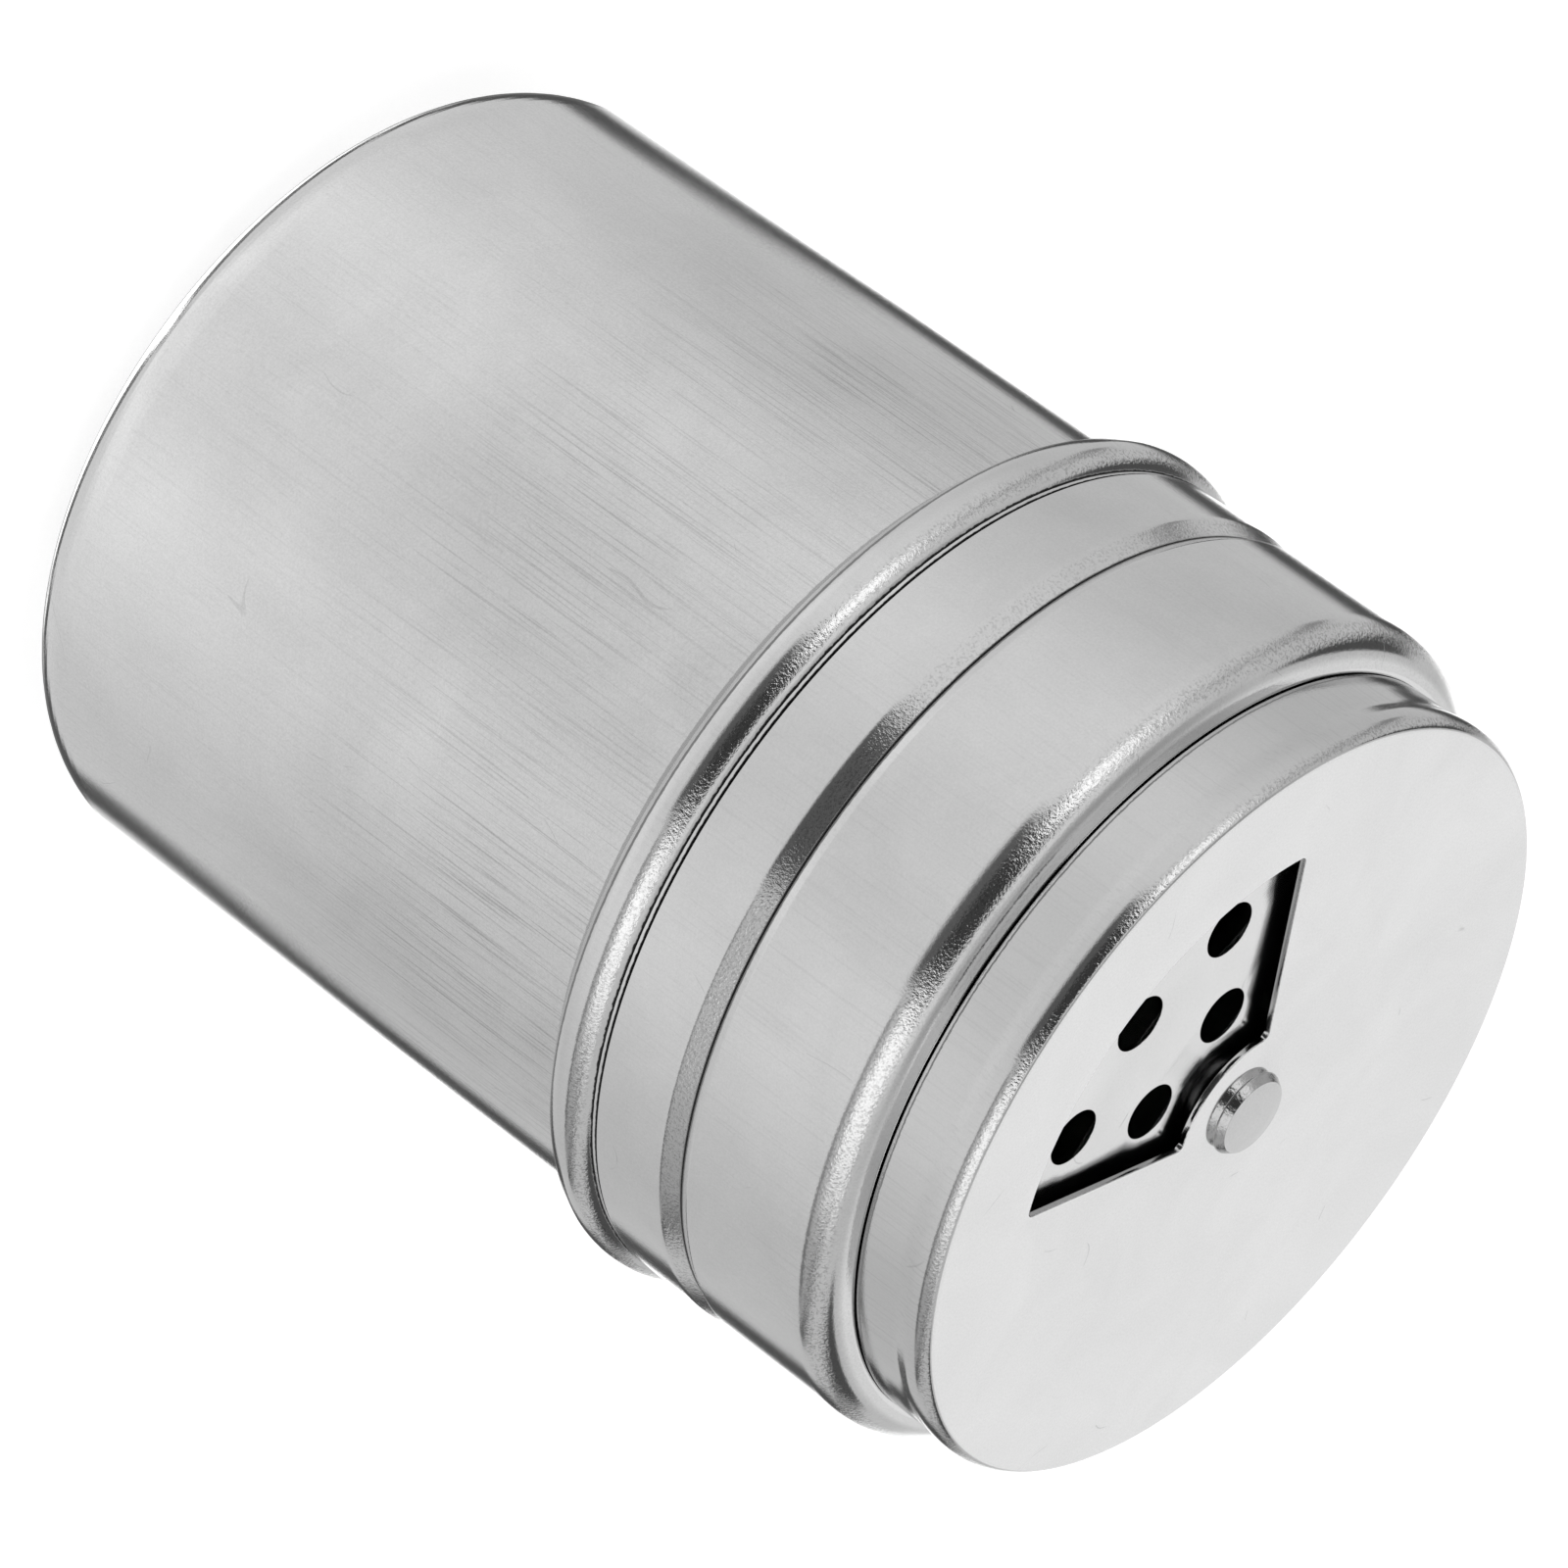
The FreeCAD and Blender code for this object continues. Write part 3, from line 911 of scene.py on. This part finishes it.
@dataclass
class Lid:
    """The pressed lid: collar ring below, shell and perforated plate above."""

    plan: PatternPlan
    sheet: float = 0.4 * MM
    inset: float = 0.1 * MM
    wall_height: float = 12.95 * MM
    shoulder_rounding: float = 2.8 * MM
    shoulder_width: float = 3.7 * MM
    shoulder_slope: float = math.radians(20.0)
    ledge_width: float = 1.2 * MM
    hem: float = 0.35 * MM
    hem_height: float = 0.8 * MM
    hem_rounding: float = 0.4 * MM
    neck_rounding: float = 0.5 * MM
    plate_rounding: float = 1.2 * MM
    band_height: float = 5.9 * MM
    band_rounding: float = 1.4 * MM
    bead_radius: float = 2.1 * MM
    crease_depth: float = 0.2 * MM
    # Painted shade lines: their widths and drops. The first line's width also spaces the crease's lip and
    # notches.
    shade_line_width: float = 0.08 * MM
    crease_lip: float = 0.24 * MM
    crease_notch: float = 0.14 * MM
    groove_shade_width: float = 0.2 * MM
    lip_shade_width: float = 0.13 * MM
    lip_shade_drop: float = 1.09 * MM
    can_shade_width: float = 0.16 * MM
    can_shade_drop: float = 0.46 * MM
    collar_clearance: float = 0.35 * MM
    flank_depth: float = 0.5 * MM
    groove_depth: float = 0.85 * MM
    groove_height: float = 1.45 * MM
    groove_gap: float = 0.2 * MM
    seat: float = 0.05 * MM
    lap_step: float = 0.6 * MM
    lap_length: float = 1.6 * MM
    hole_edge: float = 0.03 * MM
    shank_hole: float = 2.05 * MM

    def levels(self) -> tuple[float, float, float]:
        """The shell's radius, its lower edge and its shoulder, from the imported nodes."""
        low = bottom("lid_shell")
        return side("lid_shell"), low, low + self.wall_height

    def band_low(self) -> float:
        """Height of the band's lower edge."""
        return self.levels()[1] - self.groove_gap - self.groove_height - self.band_height

    def shade_lines(self) -> tuple[ShadeLine, ...]:
        """The painted shade lines of the lid: two between bead and band, one in the groove, and a painted dark
        reflection low on the bead.
        """
        low = self.band_low()
        first = low - self.crease_depth - self.shade_line_width / 2
        groove = bottom("lid_shell") - self.groove_gap / 4
        return (
            ShadeLine(first, self.shade_line_width),
            ShadeLine(first + self.crease_lip + 2 * self.shade_line_width, 1.4 * self.shade_line_width),
            ShadeLine(groove, self.groove_shade_width, 0.3),
            ShadeLine(low - self.bead_radius - self.lip_shade_drop, self.lip_shade_width, 0.3),
        )

    def can_shade_lines(self) -> tuple[ShadeLine, ...]:
        """The painted shade line on the can just under the bead."""
        return (ShadeLine(self.band_low() - 2 * self.bead_radius - self.can_shade_drop, self.can_shade_width, 0.55),)

    def crease(self, band: float) -> tuple[Corner, ...]:
        """The crease's outer outline: a notch, a narrow lip, a second notch and the band's lower edge.

        Args:
            band: Radius of the band.

        Returns:
            The corners from below.
        """
        first, second = (shade_line.height for shade_line in self.shade_lines()[:2])
        lip = band - self.crease_depth / 2
        return (
            Corner(lip - self.crease_notch, first),
            Corner(lip, first + self.shade_line_width),
            Corner(lip, second - self.shade_line_width),
            Corner(lip - self.crease_notch, second),
            Corner(band, second + 2 * self.shade_line_width),
        )

    def collar(self) -> Shell:
        """The collar ring: bead, crease, band, groove and the lip inside the shell.

        Returns:
            Its faces.
        """
        radius, low, _ = self.levels()
        can_radius = side("can_body")
        band = radius + self.inset
        bead_r = side("collar_ring") - self.bead_radius
        root_z = low - self.groove_gap
        band_top = root_z - self.groove_height
        band_low = self.band_low()
        lower = -math.acos((can_radius + self.collar_clearance - bead_r) / self.bead_radius)
        upper = math.acos((band - self.crease_depth - bead_r) / self.bead_radius)
        lap = low + self.sheet + self.seat
        lip = radius - self.sheet - self.seat
        bead = arc_corners(Corner(bead_r, band_low - self.bead_radius), self.bead_radius, lower, upper)
        rest = (
            Corner(band, band_top, self.band_rounding),
            Corner(band - self.flank_depth, root_z),
            Corner(band - self.groove_depth, root_z + self.groove_gap / 2),
            Corner(band - self.groove_depth, lap),
            Corner(lip, lap + self.lap_step),
            Corner(lip, lap + self.lap_step + self.lap_length),
        )
        inner = Outline((*bead, Corner(band, band_low), *rest)).offset(self.sheet)
        outer = Outline((*bead, *self.crease(band), *rest))
        section = np.concatenate((inner.sampled(), outer.sampled()[::-1]))
        shell = Shell()
        shell.turned(section, closed=True)
        return shell

    def upper(self) -> Shell:
        """The upper shell with its hem, shoulder, neck and perforated plate.

        Returns:
            Its faces.
        """
        radius, low, shoulder = self.levels()
        neck = radius - self.shoulder_width
        plate = top("lid_shell")
        ledge = neck + self.ledge_width
        reach = self.shoulder_rounding * (1 - math.tan(math.pi / 4 - self.shoulder_slope / 2))
        corner = shoulder - reach
        ledge_z = corner + (radius - ledge) * math.tan(self.shoulder_slope)
        outline = Outline((
            Corner(radius - self.hem, low),
            Corner(radius, low + self.hem_height, self.hem_rounding),
            Corner(radius, corner, self.shoulder_rounding),
            Corner(ledge, ledge_z),
            Corner(neck, ledge_z, self.neck_rounding),
            Corner(neck, plate, self.plate_rounding),
            Corner(neck - 3 * self.plate_rounding, plate),
        ))
        section = np.concatenate((outline.sampled()[::-1], outline.offset(self.sheet).sampled()))
        shell = Shell()
        rows = shell.turned(section)
        holes = [*self.plan.large(), *self.plan.small(), self.plan.pour(), RoundHole(0.0, 0.0, self.shank_hole)]
        shell.pierced(rows[0], rows[-1], holes, self.hole_edge)
        return shell

    def build(self) -> list[Piece]:
        """Builds and dresses the collar ring and the upper shell.

        Returns:
            The two pieces.
        """
        # The level plate is painted darker than the walls: painted shade.
        finish = DrawnSteel("lid_steel", face_colour=0.66, face_roughness=0.13, grain_shade=0.4,
                            bend_specks=0.5, brush_shade=0.12, shade_lines=self.shade_lines()).material()
        return [self.collar().piece("lid_collar", "collar_ring", Body.LID, Slot.LID, finish),
                self.upper().piece("lid_top", "lid_shell", Body.LID, Slot.LID, finish)]


@dataclass
class Cap:
    """The rotating cap with its window."""

    plan: PatternPlan
    sheet: float = 0.45 * MM
    rim_stand: float = 0.22 * MM
    rim_height: float = 1.7 * MM
    rim_blend: float = 1.2 * MM
    rim_slope: float = math.radians(35.0)
    rim_bulge: float = 1.9 * MM
    rim_rounding: float = 0.48 * MM
    rim_reach: float = 0.856 * MM
    window_edge: float = 0.08 * MM
    skirt_shade_stand: float = 0.25 * MM
    shank_hole: float = 2.08 * MM

    def build(self) -> Piece:
        """Builds and dresses the cap, with a thin painted shade line just above the skirt's edge.

        Returns:
            The piece.
        """
        rim, low, face = side("rotating_cap"), bottom("rotating_cap"), top("rotating_cap")
        skirt = rim - self.rim_stand
        rim_low = face - self.rim_height
        outline = Outline((
            Corner(skirt, low),
            Corner(skirt, rim_low - self.rim_blend, 2 * self.rim_blend),
            Corner(rim, rim_low, 2 * self.rim_blend),
            Corner(rim, face - self.rim_reach * math.cos(self.rim_slope), self.rim_bulge),
            Corner(rim - self.rim_reach * math.sin(self.rim_slope), face, self.rim_rounding),
            Corner(rim - 3 * self.rim_bulge, face),
        ))
        section = np.concatenate((outline.sampled()[::-1], outline.offset(self.sheet).sampled()))
        shell = Shell()
        rows = shell.turned(section)
        holes = [self.plan.window(), RoundHole(0.0, 0.0, self.shank_hole)]
        shell.pierced(rows[0], rows[-1], holes, self.window_edge)
        # Painted shade: a thin dark line on the skirt, standing in for the shade of the gap under its edge.
        line = ShadeLine(low + self.skirt_shade_stand, 0.25 * self.skirt_shade_stand, 0.4)
        # The cap's top face is painted much lighter than its skirt: painted light.
        finish = DrawnSteel("cap_steel", colour=0.7, face_colour=0.99, face_roughness=0.6, grain_shade=0.3,
                            bend_specks=0.5, brush_shade=0.2, cloud_shade=0.25, shade_lines=(line,))
        return shell.piece("cap_shell", "rotating_cap", Body.CAP, Slot.CAP, finish.material())


@dataclass
class Fastening:
    """The rivet and the washer under its head."""

    shank: float = 2.0 * MM
    head_crown: float = 0.1 * MM
    flank_in: float = 0.36 * MM
    flank_rounding: float = 0.3 * MM
    flank_share: float = 0.24
    edge: float = 0.1 * MM
    head_thickness: float = 0.8 * MM
    tail_inset: float = 0.37 * MM
    tail_thickness: float = 0.8 * MM
    washer_hole: float = 2.05 * MM
    flat_share: float = 0.6

    def flank(self, radius: float, high: float, low: float) -> tuple[Corner, ...]:
        """The corners, from above, of a disc's bulged side, which leans in towards its upper edge."""
        middle = low + (high - low) * self.flank_share
        return (
            Corner(radius - self.flank_in, high, self.edge / 2),
            Corner(radius, middle, self.flank_rounding),
            Corner(radius, low + self.edge),
            Corner(radius - self.edge, low),
        )

    def rivet(self) -> Shell:
        """The rivet: head, shank and clenched tail.

        Returns:
            Its faces.
        """
        head, high, low = side("rivet"), top("rivet"), bottom("rivet")
        head_low = high - self.head_thickness
        tail = head - self.tail_inset
        tail_high = low + self.tail_thickness
        section = Outline((
            Corner(head * self.flat_share, high),
            *self.flank(head, high - self.head_crown, head_low),
            Corner(self.shank, head_low),
            Corner(self.shank, tail_high),
            Corner(tail, tail_high),
            Corner(tail, low, self.tail_thickness / 2),
            Corner(tail * self.flat_share, low),
        )).sampled()
        shell = Shell()
        rows = shell.turned(section)
        shell.flat(rows[0], (), True)
        shell.flat(rows[-1], (), False)
        return shell

    def washer(self) -> Shell:
        """The washer under the head.

        Returns:
            Its faces.
        """
        outer, high, low = side("head_washer"), top("head_washer"), bottom("head_washer")
        section = Outline((
            Corner(self.washer_hole, low),
            Corner(self.washer_hole, high),
            *self.flank(outer, high, low),
            Corner(self.washer_hole, low),
        )).sampled()[:-1]
        shell = Shell()
        shell.turned(section, closed=True)
        return shell

    def build(self) -> list[Piece]:
        """Builds and dresses both, and keeps them out of the plate's and the cap's reflections.

        Returns:
            The two pieces.
        """
        # The sides of the rivet and its washer are painted dark, standing in for the dark reflection they show,
        # and the tops lighter: painted shade and painted light.
        finish = DrawnSteel("rivet_steel", colour=0.46, face_colour=0.62, face_roughness=0.45, roughness=0.12,
                            anisotropy=0.0, brush_depth=0.0, brush_shade=0.0, cloud_size=2.5 * MM).material()
        pieces = [self.rivet().piece("rivet_button", "rivet", Body.LID, Slot.RIVET, finish),
                  self.washer().piece("rivet_washer", "head_washer", Body.LID, Slot.RIVET, finish)]
        for piece in pieces:
            piece.visible_glossy = False
        return pieces


class InnerParts:
    """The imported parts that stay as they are: liner, seal and the two inner washers."""

    def build(self) -> list[Piece]:
        """Dresses the parts.

        Returns:
            The parts.
        """
        # The inner washers sit in the dark gap under the cap; their steel is painted near black: painted shade.
        washer = DrawnSteel("washer_painted_shade", colour=0.2, face_colour=0.2, shade=0.1, roughness=0.3,
                            brush_shade=0.0).material()
        looks = {
            "thread_liner": (MouldedPlastic("liner_plastic", 0.72, 0.45, 0.000003).material(), Slot.LINER),
            "seal_gasket": (MouldedPlastic("seal_rubber", 0.55, 0.62, 0.000005).material(), Slot.SEAL),
            "spacer_washer": (washer, Slot.RIVET),
            "back_washer": (washer, Slot.RIVET),
        }
        return [dress(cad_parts[name], *look) for name, look in looks.items()]


# Studio


@dataclass(frozen=True)
class Ray:
    """Where a reflected ray leads, in degrees.

    turn and height are its bearing away from the camera's side and its height. facing and slope are
    those of the steel's normal that mirrors the ray into the camera, so they name a place on a bend.
    """

    turn: Number
    height: Number
    facing: Number
    slope: Number


@dataclass(frozen=True)
class Patch:
    """A soft-edged rectangle in facing and slope: start, full, still full and end of each, in degrees."""

    facing: Span
    slope: Span

    def mask(self, ray: Ray) -> Number:
        """One on the patch and zero beside it."""
        return ray.facing.between(*self.facing) * ray.slope.between(*self.slope)


@dataclass
class Studio:
    """Camera, white floor and the soft surroundings that the steel reflects."""

    azimuth: float = math.radians(-86.467)
    elevation: float = math.radians(28.183)
    roll: float = math.radians(126.12)
    distance: float = 558.79 * MM
    aim: tuple[float, float, float] = (0.442 * MM, 0.027 * MM, 43.908 * MM)
    lens: float = 193.886
    floor_size: float = 40.0
    floor_colour: float = 0.8
    floor_lift: float = 0.6
    base_light: float = 0.64
    left_lamp: Patch = Patch((-33.0, -27.0, -14.0, -11.0), (25.0, 29.0, 39.0, 43.0))
    right_lamp: Patch = Patch((12.0, 15.0, 30.0, 50.0), (21.0, 26.0, 42.0, 46.0))
    grey_lens: Patch = Patch((-56.0, -30.0, 10.0, 36.0), (51.0, 55.0, 66.0, 70.0))
    camera_opening: Patch = Patch((-15.0, -12.0, 9.5, 12.5), (3.0, 12.0, 43.0, 47.0))
    oval_middle: tuple[float, float] = (1.0, 11.0)
    oval_half: tuple[float, float] = (67.0, 32.0)
    right_half: tuple[float, float] = (12.0, 15.0)
    gap_depth: float = 0.86

    def camera(self) -> None:
        """Makes the camera: it looks at the aim point from an azimuth and an elevation, and is rolled."""
        data = bpy.data.cameras.new("studio_camera")
        data.lens = self.lens
        data.clip_start, data.clip_end = 0.01, 200.0
        back = Vector((
            math.cos(self.azimuth) * math.cos(self.elevation),
            math.sin(self.azimuth) * math.cos(self.elevation),
            math.sin(self.elevation),
        ))
        level = Vector((-math.sin(self.azimuth), math.cos(self.azimuth), 0.0))
        turn = Matrix((level, back.cross(level), back)).transposed() @ Matrix.Rotation(self.roll, 3, "Z")
        camera = bpy.data.objects.new("studio_camera", data)
        camera.matrix_world = Matrix.Translation(Vector(self.aim) + back * self.distance) @ turn.to_4x4()
        bpy.context.scene.collection.objects.link(camera)
        bpy.context.scene.camera = camera

    def floor(self) -> None:
        """Makes the level white floor, which the steel's reflections pass through."""
        half = self.floor_size / 2
        mesh = bpy.data.meshes.new("studio_floor")
        mesh.from_pydata([(-half, -half, 0.0), (half, -half, 0.0), (half, half, 0.0), (-half, half, 0.0)],
                         [], [(0, 1, 2, 3)])
        made = bpy.data.materials.new("floor_paper")
        tree = Tree(made)
        paper = tree.node("ShaderNodeBsdfDiffuse", None, {"Color": grey(self.floor_colour)})
        seen = Number(tree, tree.node("ShaderNodeLightPath").outputs["Is Camera Ray"])
        glow = tree.node("ShaderNodeEmission", None, {"Color": grey(1.0), "Strength": seen * self.floor_lift})
        both = tree.node("ShaderNodeAddShader", None, {0: paper.outputs[0], 1: glow.outputs[0]})
        tree.node("ShaderNodeOutputMaterial", None, {"Surface": both.outputs[0]})
        mesh.materials.append(made)
        floor = bpy.data.objects.new("studio_floor", mesh)
        floor.visible_glossy = False
        bpy.context.scene.collection.objects.link(floor)

    def ray(self, tree: Tree) -> Ray:
        """Works out a ray's angles: the normal that mirrors it is its sum with the way to the camera.

        Args:
            tree: The world's tree.

        Returns:
            The angles.
        """
        direction = tree.node("ShaderNodeTexCoord").outputs["Generated"]
        parts = tree.node("ShaderNodeSeparateXYZ", None, {"Vector": direction}).outputs
        x, y, z = (Number(tree, part) for part in parts)
        ahead = x * math.cos(self.azimuth) + y * math.sin(self.azimuth)
        aside = y * math.cos(self.azimuth) - x * math.sin(self.azimuth)
        mirror = ahead + math.cos(self.elevation)
        level = (mirror * mirror + aside * aside).maths("SQRT")
        degree = math.degrees(1.0)
        return Ray(
            abs(tree.maths("ARCTAN2", aside, ahead) * degree),
            z.maths("ARCSINE") * degree,
            tree.maths("ARCTAN2", aside, mirror) * degree,
            tree.maths("ARCTAN2", z + math.sin(self.elevation), level) * degree,
        )

    def lights(self, ray: Ray) -> Number:
        """The tent's own light: more to the sides, below, above and far behind, and two lamps.

        Args:
            ray: The ray's angles.

        Returns:
            The light.
        """
        turn, height, slope = ray.turn, ray.height, ray.slope
        light = self.base_light + turn.rise(112.0, 62.0) * 0.14 + turn.between(12.0, 40.0, 48.0, 78.0) * 0.08
        light = light + height.rise(-35.0, -60.0) * 0.08 + slope.rise(60.0, 76.0) * 0.46
        light = light + turn.rise(158.0, 164.0) * height.rise(10.0, -10.0) * 0.85
        return light + self.left_lamp.mask(ray) * 0.6 + self.right_lamp.mask(ray) * 0.75

    def greys(self, ray: Ray) -> Number:
        """Grey places: a lens high up, and an oval's outline with its filling and sill on the right.

        The oval's radius is the root of the summed squares of the ways from its middle, in half widths.

        Args:
            ray: The ray's angles.

        Returns:
            How much light they take.
        """
        facing, slope = ray.facing, ray.slope
        across = (facing - self.oval_middle[0]) * (1 / self.oval_half[0])
        up = (slope - self.oval_middle[1]) * (1 / self.oval_half[1])
        oval = (across * across + up * up).maths("SQRT")
        line = slope.rise(10.0, 13.0) * oval.between(0.925, 0.955, 1.0, 1.03)
        inside = slope.rise(11.0, 13.0) * oval.rise(1.0, 0.97) * facing.rise(*self.right_half)
        sill = inside * slope.rise(17.0, 15.0) * facing.rise(62.0, 54.0)
        return self.grey_lens.mask(ray) * 0.24 + line * 0.34 + inside * 0.22 + sill * 0.26

    def gaps(self, ray: Ray) -> Number:
        """Dark gaps of the tent beside the object: two walls, a shadow under the base and two wedges.

        Args:
            ray: The ray's angles.

        Returns:
            One in a gap and zero elsewhere.
        """
        turn, height, slope, limb = ray.turn, ray.height, ray.slope, abs(ray.facing)
        drop = (-29.4 - height).maths("MAXIMUM", 0.0).maths("MINIMUM", 2.0)
        lean = turn + (height + 28.0) * 0.45 + drop * 6.5
        walls = lean.between(147.0, 150.5, 163.5, 166.0) * height.rise(-8.0, -14.0)
        shadow = height.between(-48.0, -40.0, -33.5, -31.8) * turn.rise(150.0, 158.0)
        wedges = (slope - 54.0 + (limb - 55.0) * 0.9).rise(-1.0, 2.0) * slope.rise(58.0, 55.0)
        return (walls + shadow + wedges * limb.between(53.0, 57.0, 84.0, 86.0)).maths("MINIMUM", 1.0)

    def surroundings(self) -> None:
        """Makes the world: white where the camera sees it, and a tent with dark places in reflections."""
        world = bpy.data.worlds.new("studio_tent")
        bpy.context.scene.world = world
        tree = Tree(world)
        ray = self.ray(tree)
        opening = self.camera_opening.mask(ray) * (0.84 + ray.slope.rise(20.0, 23.0) * 0.09)
        light = (self.lights(ray) - self.greys(ray)) * (1.0 - opening) * (1.0 - self.gaps(ray) * self.gap_depth)
        seen = Number(tree, tree.node("ShaderNodeLightPath").outputs["Is Camera Ray"])
        strength = seen + (1.0 - seen) * light
        background = tree.node("ShaderNodeBackground", None, {"Color": grey(1.0), "Strength": strength})
        tree.node("ShaderNodeOutputWorld", None, {"Surface": background.outputs[0]})

    def build(self) -> None:
        """Makes the whole studio."""
        self.camera()
        self.floor()
        self.surroundings()
        bpy.context.scene.view_settings.view_transform = "Standard"


def main() -> None:
    """Builds the shaker in its studio."""
    logging.basicConfig(level=logging.INFO, format="%(message)s")
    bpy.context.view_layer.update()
    plan = PatternPlan()
    lid = Lid(plan)
    pieces = [
        Can(lid.can_shade_lines()).build(),
        *lid.build(),
        Cap(plan).build(),
        *Fastening().build(),
        *InnerParts().build(),
    ]
    for piece in pieces:
        logging.info("%s: %d faces", piece.name, len(piece.data.polygons))
    Studio().build()


if __name__ == "__main__":
    main()
